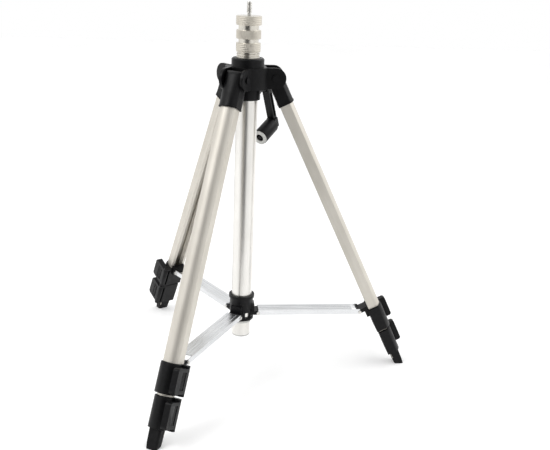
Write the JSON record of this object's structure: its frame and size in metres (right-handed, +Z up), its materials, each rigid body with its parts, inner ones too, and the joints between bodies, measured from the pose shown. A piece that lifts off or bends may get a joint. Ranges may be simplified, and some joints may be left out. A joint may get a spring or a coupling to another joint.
{
  "type": "levelling tripod",
  "caption": "Folding tripod with telescopic channel legs, lever clamps, a braced geared centre column and a knurled head adapter with a threaded stud.",
  "frame": {"origin": "on the column axis, at floor height under the three feet", "axes": "+Z up along the column, +X towards the first leg"},
  "size_m": [0.3528, 0.3996, 0.4743],
  "materials": {
    "black_plastic": "satin moulded",
    "bearing_plastic": "smooth",
    "silver_aluminium": "satin anodised",
    "strut_aluminium": "bright drawn",
    "nickel": "turned and plated",
    "steel": "zinc plated",
    "foot_rubber": "matt"
  },
  "bodies": {
    "stand": {"shoulder": "black_plastic", "column_tube": "silver_aluminium", "tube_collar": "black_plastic", "pivot_bolts": "black_plastic", "gear_cover": "black_plastic", "top_bush": "bearing_plastic", "bottom_bush": "bearing_plastic"},
    "inner_column": {"inner_column": "silver_aluminium", "gear_rack": "bearing_plastic", "column_end_cap": "bearing_plastic", "lower_collar": "nickel", "spindle": "steel", "stud_screw": "steel"},
    "middle_collar": {"middle_collar": "nickel"},
    "head_collar": {"head_collar": "nickel"},
    "crank_shaft": {"crank_shaft": "steel", "pinion": "bearing_plastic", "crank_hub": "black_plastic"},
    "crank_arm": {"crank_arm": "black_plastic", "fold_pin": "steel"},
    "crank_grip": {"crank_grip": "black_plastic", "grip_end_ring": "bearing_plastic"},
    "brace_hub": {"brace_hub": "black_plastic"},
    "strut_1": {"brace_strut_1": "strut_aluminium", "brace_rivets_1": "steel"},
    "leg_1": {"leg_cap_1": "black_plastic", "upper_leg_1": "silver_aluminium", "upper_lock_1": "black_plastic"},
    "upper_lever_1": {"upper_lever_1": "black_plastic"},
    "middle_leg_1": {"middle_leg_1": "silver_aluminium", "lower_lock_1": "black_plastic"},
    "lower_lever_1": {"lower_lever_1": "black_plastic"},
    "lower_leg_1": {"lower_leg_1": "silver_aluminium", "foot_1": "foot_rubber"},
    "strut_2": {"brace_strut_2": "strut_aluminium", "brace_rivets_2": "steel"},
    "leg_2": {"leg_cap_2": "black_plastic", "upper_leg_2": "silver_aluminium", "upper_lock_2": "black_plastic"},
    "upper_lever_2": {"upper_lever_2": "black_plastic"},
    "middle_leg_2": {"middle_leg_2": "silver_aluminium", "lower_lock_2": "black_plastic"},
    "lower_lever_2": {"lower_lever_2": "black_plastic"},
    "lower_leg_2": {"lower_leg_2": "silver_aluminium", "foot_2": "foot_rubber"},
    "strut_3": {"brace_strut_3": "strut_aluminium", "brace_rivets_3": "steel"},
    "leg_3": {"leg_cap_3": "black_plastic", "upper_leg_3": "silver_aluminium", "upper_lock_3": "black_plastic"},
    "upper_lever_3": {"upper_lever_3": "black_plastic"},
    "middle_leg_3": {"middle_leg_3": "silver_aluminium", "lower_lock_3": "black_plastic"},
    "lower_lever_3": {"lower_lever_3": "black_plastic"},
    "lower_leg_3": {"lower_leg_3": "silver_aluminium", "foot_3": "foot_rubber"}
  },
  "joints": [
    {"name": "column_lift", "type": "slide", "parent": "stand", "child": "inner_column", "axis": [0, 0, 1], "range_m": [0, 0.2]},
    {"name": "lock_ring_turn", "type": "hinge", "parent": "inner_column", "child": "middle_collar", "pos_m": [0, 0, 0.437], "axis": [0, 0, 1], "range_deg": [0, 90]},
    {"name": "head_collar_turn", "type": "hinge", "parent": "inner_column", "child": "head_collar", "pos_m": [0, 0, 0.453], "axis": [0, 0, 1], "continuous": true},
    {"name": "crank_spin", "type": "hinge", "parent": "stand", "child": "crank_shaft", "pos_m": [-0.00985, 0.00716, 0.3665], "axis": [0.5878, 0.809, 0], "range_deg": [-2880, 0]},
    {"name": "crank_fold", "type": "hinge", "parent": "crank_shaft", "child": "crank_arm", "pos_m": [0.02894, 0.06055, 0.3665], "axis": [0.809, -0.5878, 0], "range_deg": [-23, 157]},
    {"name": "grip_spin", "type": "hinge", "parent": "crank_arm", "child": "crank_grip", "pos_m": [0.0418, 0.07826, 0.31495], "axis": [0.5411, 0.7447, 0.3907], "continuous": true},
    {"name": "brace_slide", "type": "slide", "parent": "stand", "child": "brace_hub", "axis": [0, 0, 1], "range_m": [0, 0.11135]},
    {"name": "strut_hinge_1", "type": "hinge", "parent": "brace_hub", "child": "strut_1", "pos_m": [0.0218, 0, 0.07889], "axis": [0, 1, 0], "range_deg": [0, 86.44]},
    {"name": "leg_hinge_1", "type": "hinge", "parent": "strut_1", "child": "leg_1", "pos_m": [0.15776, 0, 0.07889], "axis": [0, 1, 0], "range_deg": [-63.94, 0]},
    {"name": "upper_lever_1", "type": "hinge", "parent": "leg_1", "child": "upper_lever_1", "pos_m": [0.17938, 0.0163, 0.06788], "axis": [-0.4337, 0, 0.9011], "range_deg": [0, 100]},
    {"name": "middle_leg_1", "type": "slide", "parent": "leg_1", "child": "middle_leg_1", "axis": [0.4337, 0, -0.9011], "range_m": [0, 0.25]},
    {"name": "lower_lever_1", "type": "hinge", "parent": "middle_leg_1", "child": "lower_lever_1", "pos_m": [0.19733, 0.0151, 0.03357], "axis": [-0.4337, 0, 0.9011], "range_deg": [0, 100]},
    {"name": "lower_leg_1", "type": "slide", "parent": "middle_leg_1", "child": "lower_leg_1", "axis": [0.4337, 0, -0.9011], "range_m": [0, 0.25]},
    {"name": "strut_hinge_2", "type": "hinge", "parent": "brace_hub", "child": "strut_2", "pos_m": [-0.0109, 0.01888, 0.07889], "axis": [-0.866, -0.5, 0], "range_deg": [0, 86.44]},
    {"name": "leg_hinge_2", "type": "hinge", "parent": "strut_2", "child": "leg_2", "pos_m": [-0.07888, 0.13663, 0.07889], "axis": [-0.866, -0.5, 0], "range_deg": [-63.94, 0]},
    {"name": "upper_lever_2", "type": "hinge", "parent": "leg_2", "child": "upper_lever_2", "pos_m": [-0.1038, 0.1472, 0.06788], "axis": [0.2168, -0.3756, 0.9011], "range_deg": [0, 100]},
    {"name": "middle_leg_2", "type": "slide", "parent": "leg_2", "child": "middle_leg_2", "axis": [-0.2168, 0.3756, -0.9011], "range_m": [0, 0.25]},
    {"name": "lower_lever_2", "type": "hinge", "parent": "middle_leg_2", "child": "lower_lever_2", "pos_m": [-0.11174, 0.16334, 0.03357], "axis": [0.2168, -0.3756, 0.9011], "range_deg": [0, 100]},
    {"name": "lower_leg_2", "type": "slide", "parent": "middle_leg_2", "child": "lower_leg_2", "axis": [-0.2168, 0.3756, -0.9011], "range_m": [0, 0.25]},
    {"name": "strut_hinge_3", "type": "hinge", "parent": "brace_hub", "child": "strut_3", "pos_m": [-0.0109, -0.01888, 0.07889], "axis": [0.866, -0.5, 0], "range_deg": [0, 86.44]},
    {"name": "leg_hinge_3", "type": "hinge", "parent": "strut_3", "child": "leg_3", "pos_m": [-0.07888, -0.13663, 0.07889], "axis": [0.866, -0.5, 0], "range_deg": [-63.94, 0]},
    {"name": "upper_lever_3", "type": "hinge", "parent": "leg_3", "child": "upper_lever_3", "pos_m": [-0.07557, -0.1635, 0.06788], "axis": [0.2168, 0.3756, 0.9011], "range_deg": [0, 100]},
    {"name": "middle_leg_3", "type": "slide", "parent": "leg_3", "child": "middle_leg_3", "axis": [-0.2168, -0.3756, -0.9011], "range_m": [0, 0.25]},
    {"name": "lower_lever_3", "type": "hinge", "parent": "middle_leg_3", "child": "lower_lever_3", "pos_m": [-0.08559, -0.17844, 0.03357], "axis": [0.2168, 0.3756, 0.9011], "range_deg": [0, 100]},
    {"name": "lower_leg_3", "type": "slide", "parent": "middle_leg_3", "child": "lower_leg_3", "axis": [-0.2168, -0.3756, -0.9011], "range_m": [0, 0.25]}
  ],
  "couplings": [
    {"joint": "crank_spin", "follows": "column_lift", "rad_per_m": -251.33},
    {"joint": "strut_hinge_1", "follows": "brace_slide", "rad_per_m": 13.548},
    {"joint": "leg_hinge_1", "follows": "brace_slide", "rad_per_m": -10.021},
    {"joint": "strut_hinge_2", "follows": "brace_slide", "rad_per_m": 13.548},
    {"joint": "leg_hinge_2", "follows": "brace_slide", "rad_per_m": -10.021},
    {"joint": "strut_hinge_3", "follows": "brace_slide", "rad_per_m": 13.548},
    {"joint": "leg_hinge_3", "follows": "brace_slide", "rad_per_m": -10.021}
  ]
}
